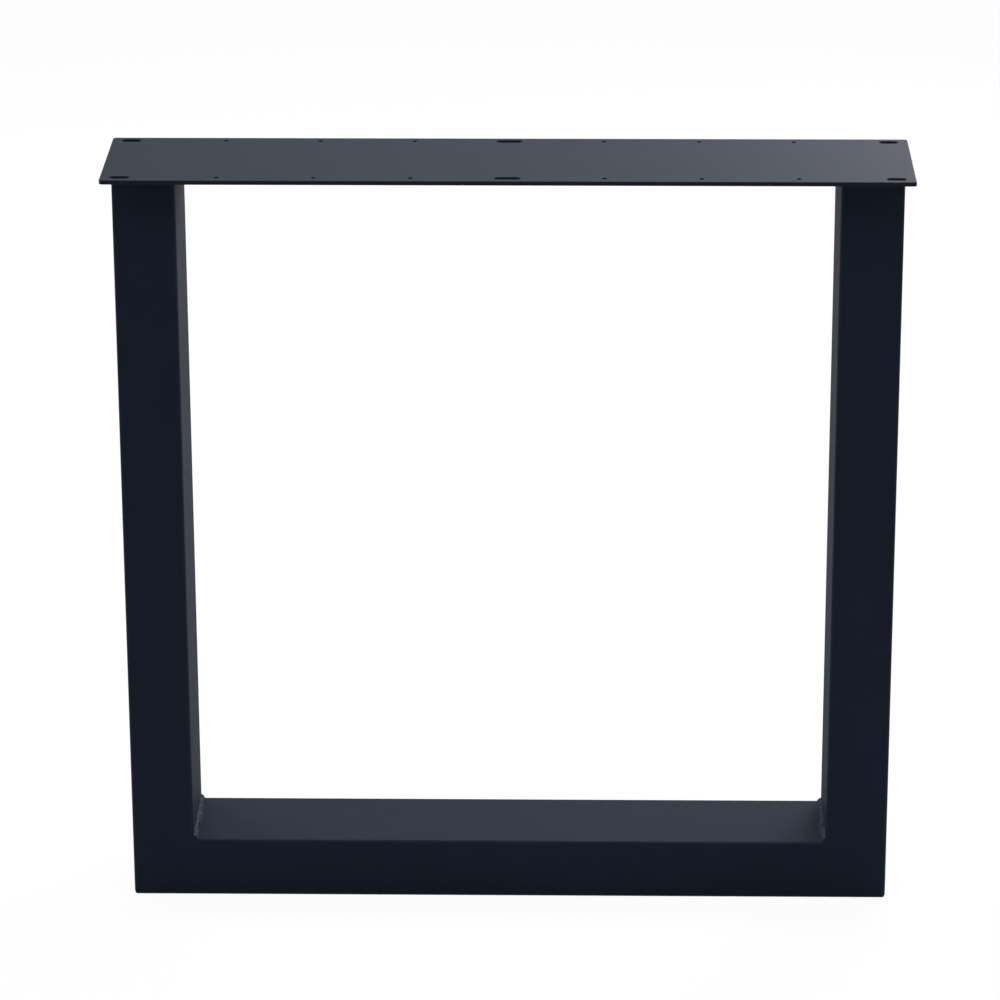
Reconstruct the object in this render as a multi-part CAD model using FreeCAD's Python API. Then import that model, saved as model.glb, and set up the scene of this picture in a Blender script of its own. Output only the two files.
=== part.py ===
import FreeCAD, Part
import os

# U-shaped table leg: two uprights and a foot rail of rectangular steel tube, mitred and
# welded at the lower corners, under a flat plate with six slots and twelve small holes for
# the table top's screws. The origin is on the floor under the middle of the rail. X runs
# along the rail, Y through the depth of the tube and Z up. All sizes are in millimetres.

# Overall frame
HEIGHT = 720.0                 # floor to the top of the plate
FRAME_WIDTH = 720.0            # across the outer faces of the two uprights

# Rectangular tube of the uprights and the foot rail
TUBE_DEPTH = 100.0             # along Y
TUBE_FACE = 58.0               # the narrow side, which faces the front
TUBE_WALL = 2.0
TUBE_INNER_RADIUS = 1.0        # inside corners of the section

# Outer corners of the frame, where the mitre welds are ground round
GROUND_CORNER_RADIUS = 5.0

# Fillet welds
CORNER_WELD_LEG = 5.0          # in the two inner corners at the rail
CORNER_WELD_CROWN = 0.4        # how far that bead stands proud of a flat fillet
PLATE_WELD_LEG = 4.0           # round the head of each upright

# Slots for the table top's screws
SLOT_WIDTH = 8.0
CORNER_SLOT_LENGTH = 18.0
MIDDLE_SLOT_LENGTH = 24.0
SLOT_WELD_GAP = 2.0            # between the weld and the near side of a slot
SLOT_EDGE_WEB = 6.0            # steel between the far side of a slot and the plate's edge
SLOT_END_WEB = 9.0             # steel between a corner slot and the plate's end

# Small screw holes, evenly spaced between the middle slot and the corner slots of each row
SCREW_HOLE_DIAMETER = 4.5
SCREW_HOLES_PER_GAP = 3

# Top plate
PLATE_THICKNESS = 4.0
PLATE_END_LEDGE = 5.0          # plate outside the weld at each end
PLATE_CORNER_RADIUS = 3.0
PLATE_EDGE_RADIUS = 0.5        # softening of the plate's upper and lower edges

# Sizes that follow from the driving ones
TUBE_OUTER_RADIUS = TUBE_INNER_RADIUS + TUBE_WALL
UPRIGHT_TOP = HEIGHT - PLATE_THICKNESS
UPRIGHT_CENTRE = (FRAME_WIDTH - TUBE_FACE) / 2
PLATE_LENGTH = FRAME_WIDTH + 2 * (PLATE_WELD_LEG + PLATE_END_LEDGE)
PLATE_OVERHANG = PLATE_WELD_LEG + SLOT_WELD_GAP + SLOT_WIDTH + SLOT_EDGE_WEB
PLATE_DEPTH = TUBE_DEPTH + 2 * PLATE_OVERHANG
SLOT_ROW = PLATE_DEPTH / 2 - SLOT_EDGE_WEB - SLOT_WIDTH / 2
CORNER_SLOT_CENTRE = (PLATE_LENGTH - CORNER_SLOT_LENGTH) / 2 - SLOT_END_WEB
SCREW_HOLE_PITCH = CORNER_SLOT_CENTRE / (SCREW_HOLES_PER_GAP + 1)

# Working values of the construction
CUT_OVERRUN = TUBE_WALL        # how far a cutting body passes what it cuts
MITRE_DEGREES = 45.0           # from the outer face of a tube to the mitre
LEVEL = 1e-4                   # an edge that rises less than this is level
LEFT = -1
RIGHT = 1
Y_AXIS = FreeCAD.Vector(0, 1, 0)
Z_AXIS = FreeCAD.Vector(0, 0, 1)
ORIGIN = FreeCAD.Vector(0, 0, 0)


def joined_arcs(arcs):
    """Return the closed wire of some arcs with a straight edge from each to the next."""
    edges = []
    for arc, following in zip(arcs, arcs[1:] + arcs[:1]):
        edges.append(arc)
        edges.append(Part.makeLine(arc.lastVertex().Point, following.firstVertex().Point))
    return Part.Wire(edges)


def rounded_outline(width, depth, radius, height):
    """Return a rounded rectangle about the Z axis, in the plane z = height."""
    reach_x = width / 2 - radius
    reach_y = depth / 2 - radius
    arcs = []
    for quarter, (x_sign, y_sign) in enumerate(((1, 1), (-1, 1), (-1, -1), (1, -1))):
        centre = FreeCAD.Vector(x_sign * reach_x, y_sign * reach_y, height)
        arcs.append(Part.makeCircle(radius, centre, Z_AXIS, 90 * quarter, 90 * quarter + 90))
    return joined_arcs(arcs)


def tube(length):
    """Return a tube that stands on the plane z = 0, its narrow side along X."""
    bore_face = TUBE_FACE - 2 * TUBE_WALL
    bore_depth = TUBE_DEPTH - 2 * TUBE_WALL
    outside = Part.Face(rounded_outline(TUBE_FACE, TUBE_DEPTH, TUBE_OUTER_RADIUS, 0))
    bore = Part.Face(rounded_outline(bore_face, bore_depth, TUBE_INNER_RADIUS, 0))
    return outside.cut(bore).extrude(Z_AXIS * length).Solids[0]


def front_point(x, z):
    """Return a point of a front-view outline, drawn just ahead of the tube's front face."""
    return FreeCAD.Vector(x, -TUBE_DEPTH / 2 - CUT_OVERRUN, z)


def front_prism(edges):
    """Return the prism on a front-view outline, which passes the tube at front and back."""
    outline = Part.Wire(Part.sortEdges(edges)[0])
    return Part.Face(outline).extrude(Y_AXIS * (TUBE_DEPTH + 2 * CUT_OVERRUN))


def chain(points):
    """Return the straight edges from each point to the next."""
    return [Part.makeLine(start, end) for start, end in zip(points, points[1:])]


def ground_corner(side):
    """Return the upright's half and the rail's half of a ground outer corner.

    The upright's arc starts at its outer face and the rail's ends at its underside. They
    share the point where the mitre comes out.
    """
    centre = front_point(side * (FRAME_WIDTH / 2 - GROUND_CORNER_RADIUS), GROUND_CORNER_RADIUS)
    outward = FreeCAD.Vector(side * GROUND_CORNER_RADIUS, 0, 0)
    stops = []
    for half_turns in range(5):
        turn = FreeCAD.Rotation(Y_AXIS, side * MITRE_DEGREES * half_turns / 2)
        stops.append(centre + turn.multVec(outward))
    return Part.Arc(*stops[:3]).toShape(), Part.Arc(*stops[2:]).toShape()


def mitre_inside(side):
    """Return the front-view point where a mitre reaches the inner corner of the frame."""
    return front_point(side * (FRAME_WIDTH / 2 - TUBE_FACE), TUBE_FACE)


def upright(side):
    """Return one upright, square at its head and mitred at its foot."""
    corner, _ = ground_corner(side)
    inside = mitre_inside(side)
    head_z = UPRIGHT_TOP + CUT_OVERRUN
    outline = [corner] + chain([
        corner.lastVertex().Point,
        inside,
        front_point(inside.x, head_z),
        front_point(side * FRAME_WIDTH / 2, head_z),
        corner.firstVertex().Point,
    ])
    whole = tube(UPRIGHT_TOP)
    whole.translate(FreeCAD.Vector(side * UPRIGHT_CENTRE, 0, 0))
    return whole.common(front_prism(outline)).Solids[0]


def foot_rail():
    """Return the rail on the floor, mitred at both ends."""
    _, left_corner = ground_corner(LEFT)
    _, right_corner = ground_corner(RIGHT)
    underside = chain([left_corner.lastVertex().Point, right_corner.lastVertex().Point])
    upper_side = chain([
        right_corner.firstVertex().Point,
        mitre_inside(RIGHT),
        mitre_inside(LEFT),
        left_corner.firstVertex().Point,
    ])
    whole = tube(FRAME_WIDTH)
    whole.translate(FreeCAD.Vector(0, 0, -FRAME_WIDTH / 2))
    whole.rotate(ORIGIN, Y_AXIS, 90)
    whole.translate(FreeCAD.Vector(0, 0, TUBE_FACE / 2))
    return whole.common(front_prism([left_corner, right_corner] + underside + upper_side)).Solids[0]


def corner_weld(side):
    """Return the bead in an inner corner, as long as the flat of the tube's depth."""
    length = TUBE_DEPTH - 2 * TUBE_OUTER_RADIUS
    root = FreeCAD.Vector(side * (FRAME_WIDTH / 2 - TUBE_FACE), -length / 2, TUBE_FACE)
    inward = FreeCAD.Vector(-side, 0, 0)
    foot = root + inward * CORNER_WELD_LEG
    head = root + Z_AXIS * CORNER_WELD_LEG
    crest = (foot + head) * 0.5 + (inward + Z_AXIS).normalize() * CORNER_WELD_CROWN
    outline = [Part.makeLine(root, foot), Part.Arc(foot, crest, head).toShape(), Part.makeLine(head, root)]
    return Part.Face(Part.Wire(outline)).extrude(Y_AXIS * length)


def plate_weld(side):
    """Return the fillet that runs round the head of an upright, under the plate."""
    on_tube = rounded_outline(TUBE_FACE, TUBE_DEPTH, TUBE_OUTER_RADIUS, UPRIGHT_TOP - PLATE_WELD_LEG)
    on_plate = rounded_outline(
        TUBE_FACE + 2 * PLATE_WELD_LEG,
        TUBE_DEPTH + 2 * PLATE_WELD_LEG,
        TUBE_OUTER_RADIUS + PLATE_WELD_LEG,
        UPRIGHT_TOP,
    )
    flare = Part.makeLoft([on_tube, on_plate], True, True)
    head_of_tube = Part.Face(on_tube).extrude(Z_AXIS * PLATE_WELD_LEG)
    bead = flare.cut(head_of_tube).Solids[0]
    bead.translate(FreeCAD.Vector(side * UPRIGHT_CENTRE, 0, 0))
    return bead


def slot(x, y, length):
    """Return the cutting body of one slot, which runs along X and has round ends."""
    radius = SLOT_WIDTH / 2
    reach = length / 2 - radius
    base_z = UPRIGHT_TOP - CUT_OVERRUN
    left_end = Part.makeCircle(radius, FreeCAD.Vector(x - reach, y, base_z), Z_AXIS, 90, 270)
    right_end = Part.makeCircle(radius, FreeCAD.Vector(x + reach, y, base_z), Z_AXIS, 270, 450)
    face = Part.Face(joined_arcs([left_end, right_end]))
    return face.extrude(Z_AXIS * (PLATE_THICKNESS + 2 * CUT_OVERRUN))


def screw_hole(x, y):
    """Return the cutting body of one small screw hole."""
    base = FreeCAD.Vector(x, y, UPRIGHT_TOP - CUT_OVERRUN)
    return Part.makeCylinder(SCREW_HOLE_DIAMETER / 2, PLATE_THICKNESS + 2 * CUT_OVERRUN, base)


def top_plate():
    """Return the plate with two rows of slots and, between the slots, small screw holes."""
    outline = rounded_outline(PLATE_LENGTH, PLATE_DEPTH, PLATE_CORNER_RADIUS, UPRIGHT_TOP)
    blank = Part.Face(outline).extrude(Z_AXIS * PLATE_THICKNESS)
    rims = [edge for edge in blank.Edges if edge.BoundBox.ZLength < LEVEL]
    plate = blank.makeFillet(PLATE_EDGE_RADIUS, rims)
    for row in (-SLOT_ROW, SLOT_ROW):
        plate = plate.cut(slot(0, row, MIDDLE_SLOT_LENGTH))
        for side in (LEFT, RIGHT):
            plate = plate.cut(slot(side * CORNER_SLOT_CENTRE, row, CORNER_SLOT_LENGTH))
            for place in range(1, SCREW_HOLES_PER_GAP + 1):
                plate = plate.cut(screw_hole(side * place * SCREW_HOLE_PITCH, row))
    return plate.Solids[0]


def main():
    """Build every piece and write it to its own file."""
    pieces = {"top_plate": top_plate(), "foot_rail": foot_rail()}
    for name, side in (("left", LEFT), ("right", RIGHT)):
        pieces[name + "_upright"] = upright(side)
        pieces[name + "_corner_weld"] = corner_weld(side)
        pieces[name + "_plate_weld"] = plate_weld(side)
    os.makedirs("parts", exist_ok=True)
    for name, piece in pieces.items():
        piece.exportStep("parts/" + name + ".step")
        print(name, "valid" if piece.isValid() else "INVALID", round(piece.Volume, 1), "mm3")


main()
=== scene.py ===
"""Looks of a U-shaped table leg: blue-black powder coat over welded rectangular steel tube.

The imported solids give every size. The tubes and the plate keep their solids and get the coat,
and the four weld beads are rebuilt with their ripples. All lengths are in metres.
"""

import logging
import math
from dataclasses import dataclass, field
from enum import Enum
from typing import ClassVar

import bmesh
import bpy
from bmesh.types import BMesh, BMVert
from bpy.types import Material, Node, NodeSocket, NodeTree, Object
from mathutils import Matrix, Vector, noise


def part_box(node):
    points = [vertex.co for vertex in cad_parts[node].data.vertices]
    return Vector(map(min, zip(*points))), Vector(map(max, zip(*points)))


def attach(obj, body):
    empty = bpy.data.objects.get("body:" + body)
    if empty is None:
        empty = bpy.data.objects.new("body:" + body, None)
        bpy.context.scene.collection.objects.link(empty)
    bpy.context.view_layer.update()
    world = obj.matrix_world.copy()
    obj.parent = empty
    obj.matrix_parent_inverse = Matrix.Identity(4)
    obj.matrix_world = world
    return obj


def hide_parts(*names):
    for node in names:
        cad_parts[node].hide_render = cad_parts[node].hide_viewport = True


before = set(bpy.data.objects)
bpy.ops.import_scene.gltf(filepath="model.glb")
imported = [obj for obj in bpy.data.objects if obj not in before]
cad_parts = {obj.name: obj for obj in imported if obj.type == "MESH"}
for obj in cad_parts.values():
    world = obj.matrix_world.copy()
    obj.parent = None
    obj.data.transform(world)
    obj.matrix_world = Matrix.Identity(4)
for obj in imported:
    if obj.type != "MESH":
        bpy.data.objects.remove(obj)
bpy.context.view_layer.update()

Colour = tuple[float, float, float]
Place = tuple[float, float, float]
Span = tuple[float, float]

BODY = "root"
UP = Vector((0.0, 0.0, 1.0))
WHITE: Colour = (1.0, 1.0, 1.0)
LOG = logging.getLogger("table_leg")


class Side(Enum):
    """The two ends of the leg, by the sign of X."""

    LEFT = -1
    RIGHT = 1

    def node(self, piece: str) -> str:
        """Return the name of this side's node of a piece."""
        return f"{self.name.lower()}_{piece}"


class RecordSlot(Enum):
    """The record's material slots."""

    POWDER_COAT = "powder_coat"
    COATED_WELD = "coated_weld"


class Graph:
    """A node tree that is built a node at a time."""

    MIX_COLOURS: ClassVar[tuple[int, int]] = (6, 7)
    MIX_RESULT: ClassVar[int] = 2
    ARRIS_SPAN: ClassVar[Span] = (0.90, 0.995)
    NOISE_DETAIL: ClassVar[float] = 2.0
    NOISE_ROUGHNESS: ClassVar[float] = 0.55

    def __init__(self, tree: NodeTree) -> None:
        """Take over a tree and empty it.

        Args:
            tree: the tree of a material or of the world.
        """
        self.tree = tree
        self.tree.nodes.clear()

    def add(self, kind: str, settings: dict[str, object] | None = None, **inputs: object) -> Node:
        """Add a node.

        Args:
            kind: the node's type, without its first word, ShaderNode.
            settings: the node's own properties.
            **inputs: values of its sockets, with _ for each space in a socket's name.

        Returns:
            The new node.
        """
        node = self.tree.nodes.new("ShaderNode" + kind)
        for name, value in (settings or {}).items():
            setattr(node, name, value)
        for name, value in inputs.items():
            node.inputs[name.replace("_", " ")].default_value = value
        return node

    def wire(self, source: NodeSocket, target: NodeSocket) -> None:
        """Join an output to an input."""
        self.tree.links.new(source, target)

    def remap(self, source: NodeSocket, span: Span, result: Span) -> NodeSocket:
        """Map a value from one range to another, clamped.

        Args:
            source: the value.
            span: the range that it has.
            result: what the two ends of that range become.

        Returns:
            The mapped value.
        """
        low, high = span
        first, last = result
        node = self.add("MapRange", From_Min=low, From_Max=high, To_Min=first, To_Max=last)
        self.wire(source, node.inputs["Value"])
        return node.outputs["Result"]

    def combine(self, operation: str, first: NodeSocket, second: NodeSocket) -> NodeSocket:
        """Join two values by a Math node.

        Args:
            operation: the node's operation.
            first: the first value.
            second: the second value.

        Returns:
            The result.
        """
        node = self.add("Math", {"operation": operation})
        self.wire(first, node.inputs[0])
        self.wire(second, node.inputs[1])
        return node.outputs["Value"]

    def mix(self, factor: NodeSocket, first: Colour, second: Colour) -> NodeSocket:
        """Mix two colours.

        Args:
            factor: 0 for the first colour and 1 for the second.
            first: the first colour.
            second: the second colour.

        Returns:
            The mixed colour.
        """
        node = self.add("Mix", {"data_type": "RGBA"})
        self.wire(factor, node.inputs["Factor"])
        for index, colour in zip(self.MIX_COLOURS, (first, second)):
            node.inputs[index].default_value = (*colour, 1.0)
        return node.outputs[self.MIX_RESULT]

    def speckle(self, size: float) -> NodeSocket:
        """Make an even noise in the leg's own frame.

        Args:
            size: how far apart its spots are.

        Returns:
            The noise, about 0.5.
        """
        place = self.add("TexCoord")
        spots = self.add(
            "TexNoise",
            Scale=1 / size,
            Detail=self.NOISE_DETAIL,
            Roughness=self.NOISE_ROUGHNESS,
        )
        self.wire(place.outputs["Object"], spots.inputs["Vector"])
        return spots.outputs[0]

    def arris(self) -> NodeSocket:
        """Find the rounded edges, which face along no axis.

        Returns:
            1 on a rounded edge and 0 on a flat.
        """
        surface = self.add("TexCoord")
        size = self.add("VectorMath", {"operation": "ABSOLUTE"})
        self.wire(surface.outputs["Normal"], size.inputs[0])
        parts = self.add("SeparateXYZ")
        self.wire(size.outputs["Vector"], parts.inputs["Vector"])
        level = self.combine("MAXIMUM", parts.outputs["X"], parts.outputs["Y"])
        squareness = self.combine("MAXIMUM", level, parts.outputs["Z"])
        return self.remap(squareness, self.ARRIS_SPAN, (1.0, 0.0))

    def seen(self) -> NodeSocket:
        """Tell the rays that see a surface from those that are lit by it.

        Returns:
            1 for rays from the camera, from gloss and through glass, and 0 for the rest.
        """
        path = self.add("LightPath")
        glossy = self.combine("MAXIMUM", path.outputs["Is Camera Ray"], path.outputs["Is Glossy Ray"])
        return self.combine("MAXIMUM", glossy, path.outputs["Is Transmission Ray"])


@dataclass(frozen=True)
class PowderCoat:
    """A baked powder coat: blue-black, finely grained, with the orange peel of its melt."""

    name: str
    deep_colour: Colour = (0.0080, 0.0115, 0.0210)
    pale_colour: Colour = (0.0094, 0.0135, 0.0247)
    low_roughness: float = 0.72
    high_roughness: float = 0.84
    ior: float = 1.16
    mottle_size: float = 0.060
    peel_size: float = 0.0024
    peel_height: float = 0.00002
    grain_size: float = 0.0012
    grain_height: float = 0.000012
    noise_span: Span = (0.3, 0.7)
    half_share: Span = (0.0, 0.5)
    arris_share: float = 0.40

    def material(self) -> Material:
        """Build the finish.

        Returns:
            The material.
        """
        made = bpy.data.materials.new(self.name)
        made.use_nodes = True
        graph = Graph(made.node_tree)
        mottle = graph.speckle(self.mottle_size)
        grain = graph.speckle(self.grain_size)
        shader = graph.add("BsdfPrincipled", IOR=self.ior)
        graph.wire(self.colour(graph, mottle, grain), shader.inputs["Base Color"])
        graph.wire(self.roughness(graph, grain), shader.inputs["Roughness"])
        graph.wire(self.relief(graph, grain), shader.inputs["Normal"])
        output = graph.add("OutputMaterial")
        graph.wire(shader.outputs["BSDF"], output.inputs["Surface"])
        return made

    def colour(self, graph: Graph, mottle: NodeSocket, grain: NodeSocket) -> NodeSocket:
        """Mix the coat's colour, half by broad clouds and half by fine grain.

        Args:
            graph: the material's nodes.
            mottle: broad clouds.
            grain: fine grain.

        Returns:
            The colour.
        """
        clouds = graph.remap(mottle, self.noise_span, self.half_share)
        specks = graph.remap(grain, self.noise_span, self.half_share)
        return graph.mix(graph.combine("ADD", clouds, specks), self.deep_colour, self.pale_colour)

    def roughness(self, graph: Graph, grain: NodeSocket) -> NodeSocket:
        """Vary the gloss by the grain, and draw the coat smooth over the arrises.

        Args:
            graph: the material's nodes.
            grain: fine grain.

        Returns:
            The roughness.
        """
        flat = graph.remap(grain, self.noise_span, (self.low_roughness, self.high_roughness))
        smooth = graph.remap(graph.arris(), (0.0, 1.0), (1.0, self.arris_share))
        return graph.combine("MULTIPLY", flat, smooth)

    def relief(self, graph: Graph, grain: NodeSocket) -> NodeSocket:
        """Raise the orange peel and the grain.

        Args:
            graph: the material's nodes.
            grain: fine grain.

        Returns:
            The normal.
        """
        peel = graph.add("Bump", Strength=1.0, Distance=self.peel_height)
        graph.wire(graph.speckle(self.peel_size), peel.inputs["Height"])
        fine = graph.add("Bump", Strength=1.0, Distance=self.grain_height)
        graph.wire(grain, fine.inputs["Height"])
        graph.wire(peel.outputs["Normal"], fine.inputs["Normal"])
        return fine.outputs["Normal"]


@dataclass(frozen=True)
class StudioWhite:
    """A pale matt ground that reads as white and still takes the leg's shadow."""

    name: str
    paint: float = 0.95
    own_white: float = 0.95

    def material(self) -> Material:
        """Build the ground's material.

        Returns:
            The material.
        """
        made = bpy.data.materials.new(self.name)
        made.use_nodes = True
        graph = Graph(made.node_tree)
        matt = graph.add("BsdfDiffuse", Color=(self.paint, self.paint, self.paint, 1.0))
        white = graph.add("Emission", Strength=1.0)
        share = graph.remap(graph.seen(), (0.0, 1.0), (0.0, self.own_white))
        blend = graph.add("MixShader")
        graph.wire(share, blend.inputs["Fac"])
        graph.wire(matt.outputs["BSDF"], blend.inputs[1])
        graph.wire(white.outputs["Emission"], blend.inputs[2])
        output = graph.add("OutputMaterial")
        graph.wire(blend.outputs["Shader"], output.inputs["Surface"])
        return made


def paint(piece: Object, finish: Material) -> None:
    """Give a piece one finish all over.

    Args:
        piece: a mesh object.
        finish: its material.
    """
    materials = piece.data.materials
    if not materials:
        materials.append(finish)
    for index in range(len(materials)):
        materials[index] = finish


@dataclass
class CoatedSolids:
    """The tubes and the plate, which keep their solids and get the coat."""

    coat: Material
    pieces: tuple[str, ...] = ("top_plate", "left_upright", "right_upright", "foot_rail")

    def dress(self) -> list[Object]:
        """Coat the solids.

        Returns:
            Their objects.
        """
        solids = [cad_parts[name] for name in self.pieces]
        for solid in solids:
            paint(solid, self.coat)
        return solids


@dataclass(frozen=True)
class Station:
    """One place along a bead: its root, the two directions of its legs, and how full it is."""

    root: Vector
    out: Vector
    rise: Vector
    along: float
    fullness: float = 1.0


@dataclass
class WeldBead:
    """A fillet bead with the ripples and lumps of its pool, and toes that wander."""

    side: Side
    coat: Material
    piece: str = "weld"
    tube_radius: float = 0.003
    crown: float = 0.0002
    ripple_pitch: float = 0.0027
    ripple_height: float = 0.0004
    ripple_sag: float = 0.45
    lump_length: float = 0.005
    lump_height: float = 0.0012
    toe_wander: float = 0.28
    drift_length: float = 0.007
    drift_peak: float = 0.6
    sink: float = 0.0001
    steps_per_ripple: int = 8
    section_steps: int = 12
    closed: bool = False
    low: Vector = field(init=False)
    high: Vector = field(init=False)

    def __post_init__(self) -> None:
        """Measure the solid that the bead stands for."""
        self.low, self.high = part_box(self.side.node(self.piece))

    def stations(self) -> list[Station]:
        """Return the places along the bead, in order."""
        raise NotImplementedError

    def drift(self, place: Vector, length: float) -> float:
        """Return an unevenness at a place, in waves of a length, up or down by about its peak."""
        return noise.noise(place / length)

    def fill(self, place: Vector) -> float:
        """Return the share of its full leg that the bead fills at a place."""
        return 1.0 + self.toe_wander * (self.drift(place, self.drift_length) - self.drift_peak)

    def swell(self, station: Station, across: float) -> float:
        """Give the height of the bead over a flat fillet.

        Args:
            station: the place along the bead.
            across: -1 at one toe, 0 on the crest and 1 at the other toe.

        Returns:
            The height.
        """
        crest = 1.0 - across * across
        unevenness = self.drift(station.root, self.drift_length)
        turns = station.along / self.ripple_pitch + unevenness - self.ripple_sag * crest
        scallop = abs(math.sin(math.pi * turns))
        beside = station.root + station.out * across * self.lump_length
        lump = max(0.0, self.drift(beside, self.lump_length))
        return crest * (self.crown + self.ripple_height * scallop + self.lump_height * lump)

    def ring(self, station: Station) -> list[Vector]:
        """Give the section of the bead at a station.

        Args:
            station: the place along the bead.

        Returns:
            The points of the section from toe to toe, and then its root.
        """
        leg = (self.high.z - self.low.z) * station.fullness
        out = station.out * leg * self.fill(station.root)
        rise = station.rise * leg * self.fill(station.root + UP)
        slope = (station.out + station.rise).normalized()
        points = []
        for step in range(self.section_steps + 1):
            share = step / self.section_steps
            lift = slope * self.swell(station, 2.0 * share - 1.0) * station.fullness
            points.append(station.root + out * (1.0 - share) + rise * share + lift)
        points[0] -= station.rise * self.sink
        points[-1] -= station.out * self.sink
        points.append(station.root - (station.out + station.rise) * self.sink)
        return points

    def build(self) -> list[Object]:
        """Build the bead in place of its solid.

        Returns:
            The bead's object in a list.
        """
        mesh = bmesh.new()
        rings = []
        for station in self.stations():
            rings.append([mesh.verts.new(point) for point in self.ring(station)])
        following = rings[1:] + rings[:1] if self.closed else rings[1:]
        for ring, after in zip(rings, following):
            self.skin(mesh, ring, after)
        if not self.closed:
            mesh.faces.new(rings[0])
            mesh.faces.new(rings[-1])
        bmesh.ops.recalc_face_normals(mesh, faces=mesh.faces)
        node = self.side.node(self.piece)
        data = bpy.data.meshes.new(node + "_bead")
        mesh.to_mesh(data)
        mesh.free()
        bead = bpy.data.objects.new(node + "_bead", data)
        bpy.context.scene.collection.objects.link(bead)
        paint(bead, self.coat)
        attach(bead, BODY)
        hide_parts(node)
        return [bead]

    def skin(self, mesh: BMesh, ring: list[BMVert], after: list[BMVert]) -> None:
        """Join two rings, smooth over the bead and sharp at its toes and root.

        Args:
            mesh: the mesh in the making.
            ring: one ring of points.
            after: the next ring.
        """
        count = len(ring)
        for index in range(count):
            beside = (index + 1) % count
            face = mesh.faces.new((ring[index], ring[beside], after[beside], after[index]))
            face.smooth = index < self.section_steps
        for index in (0, self.section_steps, count - 1):
            mesh.edges.get((ring[index], after[index])).smooth = False


@dataclass
class CornerWeld(WeldBead):
    """The bead in an inner corner, which runs out over the rounded edges of the tubes."""

    piece: str = "corner_weld"
    end_reach: float = 0.0026
    end_length: float = 0.003
    end_share: float = 0.70

    def stations(self) -> list[Station]:
        """Place the bead in its corner.

        Returns:
            The places along the bead, from front to back.
        """
        corner_x = self.low.x if self.side is Side.LEFT else self.high.x
        inward = Vector((-self.side.value, 0.0, 0.0))
        start_y = self.low.y - self.end_reach
        length = self.high.y + self.end_reach - start_y
        count = round(length / self.ripple_pitch * self.steps_per_ripple)
        places = []
        for step in range(count + 1):
            along = length * step / count
            to_end = min(along, length - along)
            over_edge = max(0.0, self.end_reach - to_end)
            drop = self.tube_radius - math.sqrt(self.tube_radius**2 - over_edge**2)
            root = Vector((corner_x, start_y + along, self.low.z)) - (inward + UP) * drop
            places.append(Station(root, inward, UP, along, self.fullness(to_end)))
        return places

    def fullness(self, to_end: float) -> float:
        """Return the share of its full size that the bead has at a distance from its end."""
        left = max(0.0, 1.0 - to_end / self.end_length)
        return self.end_share + (1.0 - self.end_share) * math.sqrt(1.0 - left * left)


@dataclass
class PlateWeld(WeldBead):
    """The bead round the head of an upright, under the plate."""

    piece: str = "plate_weld"
    closed: bool = True

    def stations(self) -> list[Station]:
        """Place the bead round its tube.

        Returns:
            The places round the tube's rounded outline.
        """
        tube_low, tube_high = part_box(self.side.node("upright"))
        middle = (tube_low + tube_high) / 2
        reach = (tube_high - tube_low) / 2 - Vector((self.tube_radius, self.tube_radius, 0.0))
        length = 4 * (reach.x + reach.y) + 2 * math.pi * self.tube_radius
        count = round(length / self.ripple_pitch) * self.steps_per_ripple
        return [self.place(length * step / count, middle, reach) for step in range(count)]

    def place(self, along: float, middle: Vector, reach: Vector) -> Station:
        """Find a station by its distance round the outline.

        Args:
            along: the distance from the foot of the first straight.
            middle: the middle of the tube.
            reach: the centre of a rounded corner, from the middle.

        Returns:
            The station.
        """
        quarter = math.pi / 2 * self.tube_radius
        rest = along
        for turn in range(4):
            angle = turn * math.pi / 2
            out = Vector((math.cos(angle), math.sin(angle), 0.0))
            ahead = Vector((-math.sin(angle), math.cos(angle), 0.0))
            to_side, half_run = (reach.x, reach.y) if turn % 2 == 0 else (reach.y, reach.x)
            if rest <= 2 * half_run:
                root = middle + out * (to_side + self.tube_radius) + ahead * (rest - half_run)
                break
            rest -= 2 * half_run
            if rest <= quarter:
                bend = rest / self.tube_radius
                centre = middle + out * to_side + ahead * half_run
                out = out * math.cos(bend) + ahead * math.sin(bend)
                root = centre + out * self.tube_radius
                break
            rest -= quarter
        root.z = self.high.z
        return Station(root, out, -UP, along)


@dataclass
class PhotoCamera:
    """The camera of the photograph, as its edges give it."""

    place: Place = (0.07111, -4.05819, 1.90549)
    yaw: float = 0.01967
    pitch: float = 0.35790
    roll: float = 0.00309
    focal_pixels: float = 4607.55
    image_pixels: float = 1000.0
    sensor_mm: float = 36.0

    def build(self) -> Object:
        """Make the camera and set it as the scene's.

        Returns:
            The camera.
        """
        data = bpy.data.cameras.new("photo_camera")
        data.sensor_width = self.sensor_mm
        data.lens = self.focal_pixels * self.sensor_mm / self.image_pixels
        camera = bpy.data.objects.new("photo_camera", data)
        bpy.context.scene.collection.objects.link(camera)
        camera.matrix_world = Matrix.Translation(self.place) @ self.turn().to_4x4()
        bpy.context.scene.camera = camera
        return camera

    def turn(self) -> Matrix:
        """Turn the camera by its yaw, pitch and roll.

        Returns:
            The camera's rotation, which has its axes as columns.
        """
        level = math.cos(self.pitch)
        ahead = Vector((-math.sin(self.yaw) * level, math.cos(self.yaw) * level, -math.sin(self.pitch)))
        right = Vector((math.cos(self.yaw), math.sin(self.yaw), 0.0))
        down = ahead.cross(right)
        tilted_right = right * math.cos(self.roll) + down * math.sin(self.roll)
        tilted_down = down * math.cos(self.roll) - right * math.sin(self.roll)
        return Matrix((tilted_right, -tilted_down, -ahead)).transposed()


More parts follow.
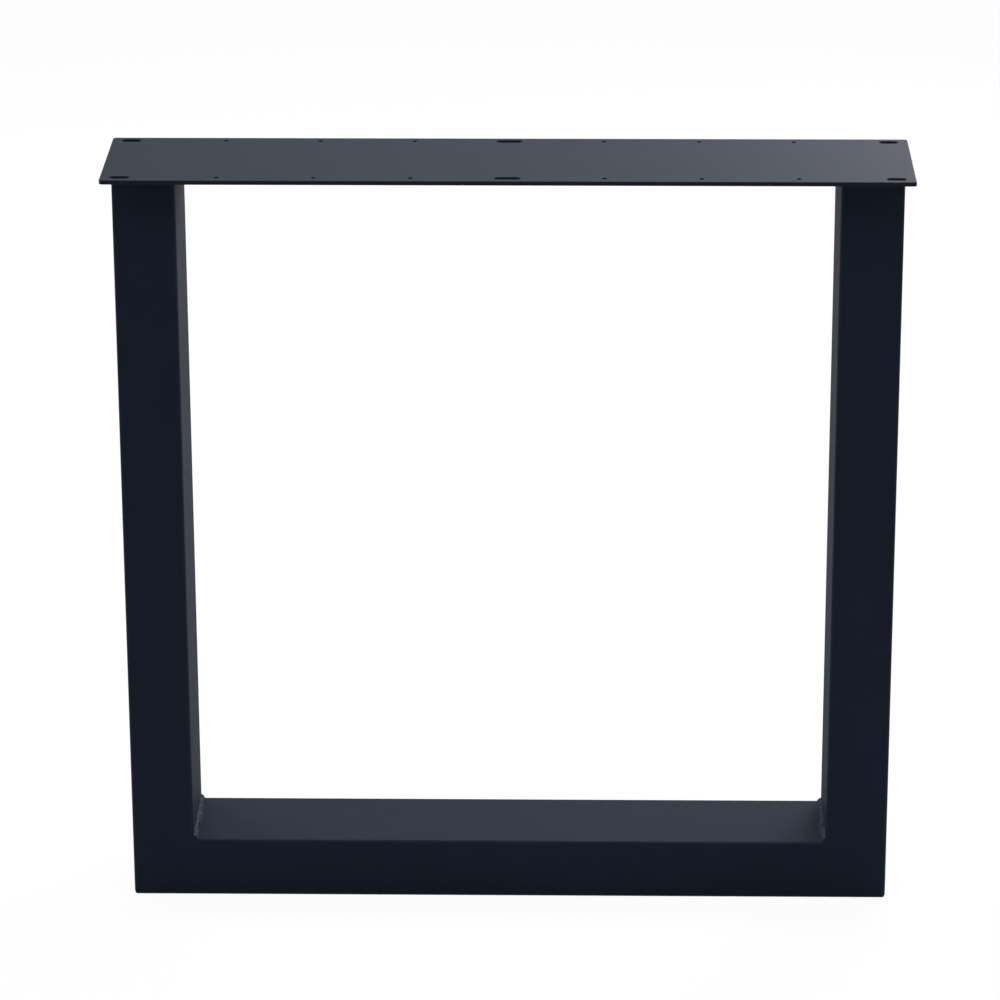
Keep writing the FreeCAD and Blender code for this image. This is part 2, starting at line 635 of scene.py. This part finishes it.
@dataclass
class SoftBox:
    """A softbox that faces a point of the leg."""

    name: str
    place: Place
    width: float
    height: float
    watts: float
    tint: Colour = WHITE
    aim: Place = (0.0, 0.0, 0.40)

    def build(self) -> Object:
        """Hang the softbox.

        Returns:
            The lamp.
        """
        data = bpy.data.lights.new(self.name, "AREA")
        data.shape = "RECTANGLE"
        data.size = self.width
        data.size_y = self.height
        data.energy = self.watts
        data.color = self.tint
        lamp = bpy.data.objects.new(self.name, data)
        bpy.context.scene.collection.objects.link(lamp)
        lamp.location = self.place
        lamp.rotation_euler = (Vector(self.aim) - Vector(self.place)).to_track_quat("-Z", "Y").to_euler()
        lamp.visible_camera = False
        return lamp


@dataclass
class Studio:
    """A pale floor under an even sky, with softboxes about the leg."""

    ground: Material
    boxes: list[SoftBox]
    floor_reach: float = 40.0
    sky_colour: Colour = (0.33, 0.34, 0.35)

    def build(self) -> None:
        """Lay the floor, light the sky and hang the softboxes."""
        self.floor()
        self.sky()
        for box in self.boxes:
            box.build()
        bpy.context.scene.view_settings.view_transform = "Standard"

    def floor(self) -> Object:
        """Lay the floor under the leg.

        Returns:
            The floor.
        """
        reach = self.floor_reach
        corners = [(-reach, -reach, 0.0), (reach, -reach, 0.0), (reach, reach, 0.0), (-reach, reach, 0.0)]
        data = bpy.data.meshes.new("floor")
        data.from_pydata(corners, [], [(0, 1, 2, 3)])
        ground = bpy.data.objects.new("floor", data)
        bpy.context.scene.collection.objects.link(ground)
        paint(ground, self.ground)
        return ground

    def sky(self) -> None:
        """Light the sky, which is white where it is seen and a little cool as a lamp."""
        world = bpy.data.worlds.new("studio_sky")
        world.use_nodes = True
        graph = Graph(world.node_tree)
        sky = graph.add("Background", Strength=1.0)
        graph.wire(graph.mix(graph.seen(), self.sky_colour, WHITE), sky.inputs["Color"])
        output = graph.add("OutputWorld")
        graph.wire(sky.outputs["Background"], output.inputs["Surface"])
        bpy.context.scene.world = world


def studio_lights() -> list[SoftBox]:
    """List the softboxes, which stand above and behind the leg.

    Returns:
        The softboxes.
    """
    return [
        SoftBox("back_right_low", (1.2, 2.6, 1.0), 1.4, 1.2, 18.2, (0.84, 0.91, 1.00)),
        SoftBox("back_high", (0.0, 2.2, 2.2), 2.0, 1.0, 64.0, (0.92, 0.95, 1.00)),
        SoftBox("plate_back", (0.7, 0.8, 1.05), 0.5, 0.3, 11.9, (1.00, 1.00, 1.00), (0.3, 0.0, 0.72)),
        SoftBox("low_left", (-2.0, 1.7, 0.8), 1.2, 0.8, 22.0, (0.89, 0.97, 1.00)),
        SoftBox("overhead_front", (0.0, -0.7, 2.2), 1.2, 0.6, 11.2, (0.92, 0.95, 1.00)),
    ]


def main() -> None:
    """Build and dress the leg piece by piece, then the camera and the studio."""
    logging.basicConfig(level=logging.INFO, format="%(name)s: %(message)s")
    made = CoatedSolids(PowderCoat("blue_black_powder_coat").material()).dress()
    weld_coat = PowderCoat("powder_coat_on_weld", arris_share=0.72).material()
    for side in Side:
        made += CornerWeld(side, weld_coat).build()
        made += PlateWeld(side, weld_coat).build()
    for piece in made:
        LOG.info("%s has %d faces", piece.name, len(piece.data.polygons))
    PhotoCamera().build()
    Studio(StudioWhite("studio_white").material(), studio_lights()).build()


if __name__ == "__main__":
    main()
